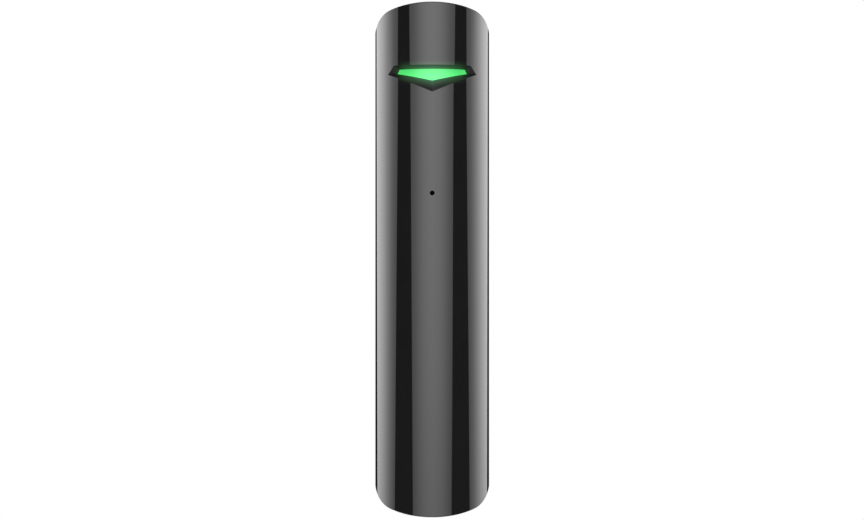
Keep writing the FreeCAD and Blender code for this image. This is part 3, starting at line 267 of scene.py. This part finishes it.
def grained(
    name, colour, roughness, grain=MOULDED_GRAIN, depth=MOULDED_DEPTH, metallic=0.0,
    stretch=(1.0, 1.0, 1.0), specular=0.5,
):
    """Moulded or drawn surface: fine grain, slight changes of tone and gloss."""
    material, tree, shader = new_material(name)
    shader.inputs["Specular IOR Level"].default_value = specular
    shader.inputs["Metallic"].default_value = metallic
    broad = tree.noise(BROAD_SIZE, BROAD_DETAIL, stretch)
    fine = tree.noise(grain, 2.0, stretch)
    tone = tree.mix(broad, shade(colour, 0.9), shade(colour, 1.1))
    tone = tree.mix(tree.math("MULTIPLY", fine, GRAIN_SHARE), tone, shade(colour, 0.85))
    tree.put(tone, shader.inputs["Base Color"])
    tree.put(tree.vary(fine, roughness - 0.05, roughness + 0.05), shader.inputs["Roughness"])
    tree.put(tree.bump(fine, GRAIN_BUMP, depth), shader.inputs["Normal"])
    return material


def metal(name, colour, roughness, stretch=(1.0, 1.0, 12.0)):
    return grained(name, colour, roughness, 0.00008, 0.000002, 1.0, stretch)


def moulding(name, tones, specular):
    """Fine matt moulding, with its tone and roughness left to the caller to finish."""
    material, tree, shader = new_material(name)
    shader.inputs["Specular IOR Level"].default_value = specular
    dark, light, speck = tones
    fine = tree.noise(MOULDED_GRAIN)
    tone = tree.mix(tree.noise(BROAD_SIZE, BROAD_DETAIL), dark, light)
    tone = tree.mix(tree.math("MULTIPLY", fine, GRAIN_SHARE), tone, speck)
    rough = tree.vary(fine, 0.47, 0.57)
    tree.put(tree.bump(fine, GRAIN_BUMP, MOULDED_DEPTH), shader.inputs["Normal"])
    return material, tree, shader, tone, rough


def lens_distance(tree, x, z):
    """Distance outside the lens outline, seen from the front."""
    aside = tree.math("ABSOLUTE", x)
    lean = tree.math("MULTIPLY", aside, LENS_MIDDLE_SLOPE)
    half = tree.math("SUBTRACT", LENS_HALF_HEIGHT, lean)
    off = tree.off(z, tree.math("ADD", lean, LENS_MIDDLE))
    high = tree.math("MAXIMUM", tree.math("SUBTRACT", off, half), 0.0)
    wide = tree.math("MAXIMUM", tree.math("SUBTRACT", aside, LENS_HALF_WIDTH), 0.0)
    return tree.length(high, wide)


def painted_lens_glow(tree, x, z):
    """Painted green glow on the recess and just above its rim, standing for the light that the lens
    throws there.
    """
    near = tree.fit(lens_distance(tree, x, z), 0.0, GLOW_REACH, 1.0, 0.0, smooth=False)
    near = tree.math("POWER", near, GLOW_POWER)
    aside = tree.math("ABSOLUTE", x)
    middle = tree.ramp(tree.math("DIVIDE", aside, GLOW_HALF_WIDTH), GLOW_STOPS)
    strength = tree.math("MULTIPLY", near, middle)
    tint = tree.mix(tree.fit(aside, 0.0, LENS_HALF_WIDTH), *GLOW_TINTS)
    return tree.mix(strength, BLACK, tint)


def matt_band(tree, y, z):
    """One on the matt band along the front cover's edges, nought on the polished face."""
    behind = tree.math("SUBTRACT", y, FRONT)
    past_side = tree.math("SUBTRACT", behind, GLOSS_END - GLOSS_CORNER)
    slanted = tree.math("ADD", tree.off(z, MID_HEIGHT), tree.math("MULTIPLY", behind, GLOSS_SLOPE))
    past_end = tree.math("SUBTRACT", slanted, GLOSS_TOP)
    past_end = tree.math("DIVIDE", past_end, math.hypot(1.0, GLOSS_SLOPE))
    past_end = tree.math("ADD", past_end, GLOSS_CORNER)
    past_side = tree.math("MAXIMUM", past_side, 0.0)
    past_end = tree.math("MAXIMUM", past_end, 0.0)
    reach = tree.length(past_side, past_end)
    return tree.fit(reach, GLOSS_CORNER - GLOSS_BLUR, GLOSS_CORNER + GLOSS_BLUR)


def roof_reach(tree, y, z):
    """Distance from the axis that the curved ends are rounded about."""
    height = tree.math("SUBTRACT", tree.off(z, MID_HEIGHT), ROOF_AXIS)
    return tree.length(tree.math("SUBTRACT", y, FRONT), height)


def crown_line(tree, x, y, z):
    """One on the thin rounded line along the edge between the face and the ends."""
    past_axis = tree.math("SUBTRACT", roof_reach(tree, y, z), ROOF_RADIUS - CROWN_RADIUS)
    inside = tree.math("SUBTRACT", CROWN_RADIUS, tree.length(x, past_axis))
    line = tree.fit(inside, CROWN_LINE * 0.5, CROWN_LINE * 1.2, 1.0, 0.0)
    aside = tree.math("ABSOLUTE", x)
    return tree.math("MULTIPLY", line, tree.fit(aside, CROWN_LINE_FULL, CROWN_LINE_END, 1.0, 0.0))


def dish(tree, x, y, z):
    """One on the walls and floor of the recess, nought on the face around it."""
    from_axis = tree.length(x, tree.math("SUBTRACT", y, AXIS))
    sunk = tree.math("LESS_THAN", from_axis, FACE_RADIUS - FACE_MARGIN)
    return tree.math("MULTIPLY", sunk, tree.math("LESS_THAN", tree.off(z, LENS_MIDDLE), DISH_REACH))


def front_material():
    """Polished face that turns into a matt band along its edges."""
    material, tree, shader = new_material("front_plastic")
    x, y, z = tree.xyz()
    # Painted light: green glow from the lens, set as emission on the front cover
    tree.put(painted_lens_glow(tree, x, z), shader.inputs["Emission Color"])
    shader.inputs["Emission Strength"].default_value = 1.0
    matt = matt_band(tree, y, z)
    recess = dish(tree, x, y, z)
    grain = tree.noise(0.00012)
    haze = tree.noise(0.004, 4.0)
    tone = tree.mix(matt, tree.mix(haze, *GLOSS_TONES), tree.mix(grain, *MATT_TONES))
    tree.put(tone, shader.inputs["Base Color"])
    polish = tree.fit(crown_line(tree, x, y, z), 0.0, 1.0, 0.5, CROWN_SPECULAR, smooth=False)
    aside = tree.fit(tree.math("ABSOLUTE", x), DISH_FULL, DISH_END, 1.0, DISH_SIDE)
    dim = tree.math("MULTIPLY", recess, tree.math("SUBTRACT", aside, 1.0))
    specular = tree.math("MULTIPLY", polish, tree.math("ADD", 1.0, dim))
    tree.put(specular, shader.inputs["Specular IOR Level"])
    rough = tree.add("ShaderNodeMix", data_type="FLOAT")
    dull = tree.math("MULTIPLY", recess, DISH_ROUGHER)
    tree.put(matt, rough.inputs["Factor"])
    tree.put(tree.math("ADD", tree.vary(haze, 0.025, 0.04), dull), rough.inputs["A"])
    tree.put(tree.vary(grain, 0.42, 0.54), rough.inputs["B"])
    tree.put(rough.outputs["Result"], shader.inputs["Roughness"])
    tree.put(tree.bump(grain, matt, MOULDED_DEPTH), shader.inputs["Normal"])
    return material


def rear_material():
    """Fine matt moulding, with painted shadow in the bay behind the bracket, and rougher on its top
    end.
    """
    material, tree, shader, tone, rough = moulding("rear_plastic", REAR_TONES, 0.25)
    x, y, z = tree.xyz()
    # Painted shadow: near-black base colour deep in the bay behind the bracket
    behind = tree.fit(y, -BAY_SHADOW_DEPTH - BAY_SHADOW_BLUR, -BAY_SHADOW_DEPTH, 1.0, 0.0)
    before = tree.math("GREATER_THAN", y, -BAY_DEPTH - BAY_MARGIN)
    across = tree.math("LESS_THAN", tree.math("ABSOLUTE", x), BAY_HALF_WIDTH + BAY_MARGIN)
    above = tree.fit(z, BAY_SHADOW_FROM, BAY_SHADOW_TO)
    painted_shadow_mask = tree.math("MULTIPLY", tree.math("MULTIPLY", behind, before), across)
    painted_shadow_mask = tree.math("MULTIPLY", painted_shadow_mask, above)
    tree.put(tree.mix(painted_shadow_mask, tone, BAY_PAINTED_SHADOW), shader.inputs["Base Color"])
    roof = tree.fit(
        roof_reach(tree, y, z), ROOF_RADIUS - ROOF_INNER, ROOF_RADIUS - ROOF_OUTER, 0.0, ROOF_ROUGHER,
    )
    roof = tree.math("MULTIPLY", roof, tree.math("GREATER_THAN", z, MID_HEIGHT))
    tree.put(tree.math("ADD", rough, roof), shader.inputs["Roughness"])
    return material


def bracket_material():
    """Fine matt moulding, with painted shadow down its slots."""
    material, tree, shader, tone, rough = moulding("bracket_plastic", BRACKET_TONES, 0.3)
    y = tree.xyz()[1]
    # Painted shadow: near-black base colour on the deeper levels of the bracket
    painted_shadow_mask = tree.math("LESS_THAN", y, -WEB_DEPTH - LEVEL_MARGIN)
    panel = tree.math("LESS_THAN", tree.off(y, -PANEL_DEPTH), LEVEL_MARGIN)
    painted_shadow_mask = tree.math("SUBTRACT", painted_shadow_mask, panel)
    tree.put(tree.mix(painted_shadow_mask, tone, SLOT_PAINTED_SHADOW), shader.inputs["Base Color"])
    tree.put(rough, shader.inputs["Roughness"])
    return material


def light_guide_material():
    """Translucent green light guide, brightest over the lamp in its middle."""
    material, tree, shader = new_material("light_guide")
    x, _, z = tree.xyz()
    cloud = tree.math("SUBTRACT", tree.noise(0.0009, 3.0), 0.5)
    cloud = tree.math("MULTIPLY", cloud, LENS_CLOUD)
    spread = tree.math("ADD", tree.math("ABSOLUTE", x), cloud)
    aside = tree.fit(spread, 0.0, LENS_SPREAD)
    tree.put(tree.mix(aside, *LENS_GREENS), shader.inputs["Emission Color"])
    strength = tree.fit(
        z, LENS_MIDDLE - LENS_HALF_HEIGHT, LENS_MIDDLE + LENS_HALF_HEIGHT,
        LENS_LOW_STRENGTH, LENS_HIGH_STRENGTH,
    )
    tree.put(strength, shader.inputs["Emission Strength"])
    tree.put(tree.mix(aside, *LENS_BODY), shader.inputs["Base Color"])
    tree.put(tree.vary(tree.noise(0.0002), 0.3, 0.4), shader.inputs["Roughness"])
    return material


def board_material():
    """Green solder mask over copper tracks."""
    material, tree, shader = new_material("board")
    brick = tree.add("ShaderNodeTexBrick")
    turned = tree.add("ShaderNodeMapping")
    turned.inputs["Rotation"].default_value = (math.radians(90), 0.0, 0.0)
    tree.put(tree.add("ShaderNodeTexCoord").outputs["Object"], turned.inputs["Vector"])
    tree.put(turned.outputs["Vector"], brick.inputs["Vector"])
    brick.inputs["Scale"].default_value = 420.0
    brick.inputs["Mortar Size"].default_value = 0.06
    patches = tree.fit(tree.noise(0.004), 0.45, 0.55)
    tracks = tree.math("MULTIPLY", brick.outputs["Fac"], patches)
    speck = tree.noise(0.0003)
    mask = tree.mix(speck, (0.012, 0.10, 0.04, 1.0), (0.018, 0.14, 0.055, 1.0))
    tree.put(tree.mix(tracks, mask, (0.05, 0.24, 0.09, 1.0)), shader.inputs["Base Color"])
    tree.put(tree.vary(speck, 0.25, 0.4), shader.inputs["Roughness"])
    tree.put(tree.bump(tracks, 0.5, 0.00003), shader.inputs["Normal"])
    return material


def capsule_material():
    """Drawn metal can with black felt over its sound opening."""
    material, tree, shader = new_material("capsule_metal")
    x, _, z = tree.xyz()
    from_port = tree.length(x, tree.math("SUBTRACT", z, PORT_HEIGHT))
    felt = tree.math("LESS_THAN", from_port, FELT_RADIUS)
    speck = tree.noise(0.0001)
    can = tree.mix(speck, (0.60, 0.60, 0.59, 1.0), (0.70, 0.70, 0.69, 1.0))
    dark = tree.mix(speck, (0.004, 0.004, 0.004, 1.0), (0.010, 0.010, 0.010, 1.0))
    tree.put(tree.mix(felt, can, dark), shader.inputs["Base Color"])
    tree.put(tree.math("SUBTRACT", 1.0, felt), shader.inputs["Metallic"])
    tree.put(tree.fit(felt, 0.0, 1.0, 0.32, 0.95), shader.inputs["Roughness"])
    tree.put(tree.bump(speck, 0.5, 0.00001), shader.inputs["Normal"])
    return material


def finish_nodes():
    """Give every CAD node its material."""
    chip = grained("chip_resin", (0.025, 0.025, 0.026), 0.5, 0.0001)
    ceramic = grained("chip_ceramic", (0.42, 0.32, 0.20), 0.4, 0.0001)
    spring = metal("contact_metal", (0.72, 0.69, 0.62), 0.28)
    tinned = metal("shield_metal", (0.68, 0.68, 0.67), 0.35)
    switch = grained("switch_body", (0.05, 0.05, 0.052), 0.5)
    button = grained("button_plastic", (0.040, 0.040, 0.041), 0.5)
    pins = metal("pin_metal", (0.50, 0.46, 0.41), 0.45)
    label = grained("label_film", (0.010, 0.010, 0.0102), 0.6, 0.00025, 0.000002, specular=0.2)
    table = {
        "front_cover": front_material(),
        "rear_cover": rear_material(),
        "rear_label": label,
        "mounting_bracket": bracket_material(),
        "light_guide": light_guide_material(),
        "status_led": grained("led_body", (0.82, 0.84, 0.78), 0.3),
        "circuit_board": board_material(),
        "microphone_capsule": capsule_material(),
        "microphone_gasket": grained("gasket_rubber", (0.025, 0.025, 0.025), 0.75),
        "battery_cell": grained("cell_sleeve", (0.42, 0.43, 0.46), 0.3, 0.0004),
        "battery_contact_positive": spring,
        "battery_contact_negative": spring,
        "tamper_button": button,
        "power_button": button,
        "tamper_switch": switch,
        "power_switch": switch,
        "connector_socket": grained("socket_plastic", (0.22, 0.22, 0.22), 0.45),
        "connector_pin_left": pins,
        "connector_pin_right": pins,
        "connector_spacer": grained("spacer_plastic", (0.42, 0.05, 0.018), 0.5, specular=0.3),
        "antenna": spring,
        "radio_shield": tinned,
        "reservoir_capacitor": metal("capacitor_can", (0.72, 0.72, 0.73), 0.3),
        "microcontroller": chip,
        "amplifier_chip": chip,
        "crystal": tinned,
    }
    for name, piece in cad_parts.items():
        finish = ceramic if name.startswith("chip_capacitor") else table[name]
        if not piece.material_slots:
            piece.data.materials.append(finish)
        for slot in piece.material_slots:
            slot.link = "OBJECT"
            slot.material = finish


# Studio: pale floor, white background, softboxes with dark gaps between them

def world_angles(tree):
    """Turn from straight in front and rise from the horizon, in degrees."""
    way = tree.add("ShaderNodeSeparateXYZ")
    tree.put(tree.add("ShaderNodeTexCoord").outputs["Generated"], way.inputs[0])
    front = tree.math("MULTIPLY", way.outputs["Y"], -1.0)
    turn = tree.math("ABSOLUTE", tree.math("ARCTAN2", way.outputs["X"], front))
    turn = tree.math("MULTIPLY", turn, math.degrees(1.0))
    rise = tree.math("MULTIPLY", tree.math("ARCSINE", way.outputs["Z"]), math.degrees(1.0))
    return turn, rise


def past_line(tree, turn, level, start, slope, before, after):
    """Blurred step across a leaning edge between two softboxes."""
    edge = tree.math("ADD", tree.math("MULTIPLY", level, slope), start)
    return tree.fit(tree.math("SUBTRACT", turn, edge), -GAP_BLUR, GAP_BLUR, before, after)


def softboxes(tree, turn, rise):
    """What a polished surface sees: bright boxes, the gaps between them, a dull ceiling."""
    level = tree.fit(rise, -RISE_SPAN, RISE_SPAN, -RISE_SPAN, RISE_SPAN, smooth=False)
    in_front = past_line(tree, turn, level, GAP_START, GAP_START_SLOPE, 1.0, 0.0)
    aside = past_line(tree, turn, level, GAP_END, GAP_END_SLOPE, 0.0, 1.0)
    rim = past_line(tree, turn, level, RIM_START, RIM_SLOPE, 1.0, 0.0)
    rim = tree.math("MAXIMUM", rim, tree.fit(turn, RIM_END_FROM, RIM_END_TO))
    lit = tree.math("MULTIPLY", tree.math("MAXIMUM", in_front, aside), rim)
    around = [(angle / TURN_SPAN, bright / TURN_SCALE) for angle, bright in TURN_LEVELS]
    around = tree.ramp(tree.math("DIVIDE", turn, TURN_SPAN), around)
    up = [((a + RISE_SPAN) / (2 * RISE_SPAN), bright / RISE_SCALE) for a, bright in RISE_LEVELS]
    up = tree.ramp(tree.fit(rise, -RISE_SPAN, RISE_SPAN, smooth=False), up)
    around = tree.math("MULTIPLY", around, TURN_SCALE)
    up = tree.math("MULTIPLY", up, RISE_SCALE)
    pattern = tree.math("MULTIPLY", tree.math("MULTIPLY", around, up), lit)
    steep = tree.fit(tree.math("ABSOLUTE", rise), STEEP_FROM, STEEP_TO)
    return tree.mix(steep, pattern, CEILING)


def make_world():
    world = bpy.data.worlds.new("studio")
    bpy.context.scene.world = world
    world.use_nodes = True
    tree = Tree(world.node_tree)
    output = tree.add("ShaderNodeOutputWorld")
    background = tree.add("ShaderNodeBackground")
    tree.put(background.outputs[0], output.inputs["Surface"])
    turn, rise = world_angles(tree)
    soft = tree.fit(rise, -90.0, 90.0, SOFT_BELOW, SOFT_ABOVE, smooth=False)
    rays = tree.add("ShaderNodeLightPath")
    lighting = tree.mix(rays.outputs["Is Glossy Ray"], soft, softboxes(tree, turn, rise))
    plain = tree.math("MAXIMUM", rays.outputs["Is Camera Ray"], rays.outputs["Is Transmission Ray"])
    tree.put(tree.mix(plain, lighting, WHITE), background.inputs["Color"])


def make_floor():
    """Pale round floor that fades into the white background."""
    bpy.ops.mesh.primitive_circle_add(vertices=96, radius=FLOOR_RADIUS, fill_type="NGON")
    floor = bpy.context.object
    floor.name = "floor"
    floor.location = (0.0, 0.0, FLOOR_HEIGHT)
    material = bpy.data.materials.new("floor")
    material.use_nodes = True
    tree = Tree(material.node_tree)
    output = tree.add("ShaderNodeOutputMaterial")
    pale = tree.add("ShaderNodeBsdfDiffuse")
    tree.put(tree.mix(tree.noise(0.01), *FLOOR_TONES), pale.inputs["Color"])
    white = tree.add("ShaderNodeEmission")
    reach = tree.add("ShaderNodeVectorMath", operation="LENGTH")
    tree.put(tree.add("ShaderNodeTexCoord").outputs["Object"], reach.inputs[0])
    fade = tree.fit(reach.outputs["Value"], FADE_START, FADE_END)
    rays = tree.add("ShaderNodeLightPath")
    seen = tree.math("MAXIMUM", rays.outputs["Is Camera Ray"], rays.outputs["Is Glossy Ray"])
    seen = tree.math("MAXIMUM", seen, rays.outputs["Is Transmission Ray"])
    blend = tree.add("ShaderNodeMixShader")
    tree.put(tree.math("MULTIPLY", fade, seen), blend.inputs[0])
    tree.put(pale.outputs[0], blend.inputs[1])
    tree.put(white.outputs[0], blend.inputs[2])
    tree.put(blend.outputs[0], output.inputs["Surface"])
    floor.data.materials.append(material)


def lamp(name, place, width, power):
    """Soft area lamp that faces the object and hides from the camera."""
    data = bpy.data.lights.new(name, "AREA")
    data.shape = "DISK"
    data.size = width
    data.energy = power
    item = bpy.data.objects.new(name, data)
    bpy.context.collection.objects.link(item)
    item.location = place
    target = Vector((0.0, MIDDLE_DEPTH, MID_HEIGHT))
    item.rotation_euler = (target - item.location).to_track_quat("-Z", "Y").to_euler()
    item.visible_camera = False


def make_camera():
    data = bpy.data.cameras.new("camera")
    data.sensor_width = 36.0
    data.lens = CAMERA_LENS
    data.clip_start = 0.01
    camera = bpy.data.objects.new("camera", data)
    bpy.context.collection.objects.link(camera)
    camera.location = CAMERA_PLACE
    camera.rotation_euler = (math.radians(90), 0.0, 0.0)
    bpy.context.scene.camera = camera


finish_nodes()
make_world()
make_floor()
for name, place, width, power in LAMPS:
    lamp(name, place, width, power)
make_camera()
bpy.context.scene.view_settings.view_transform = "Standard"
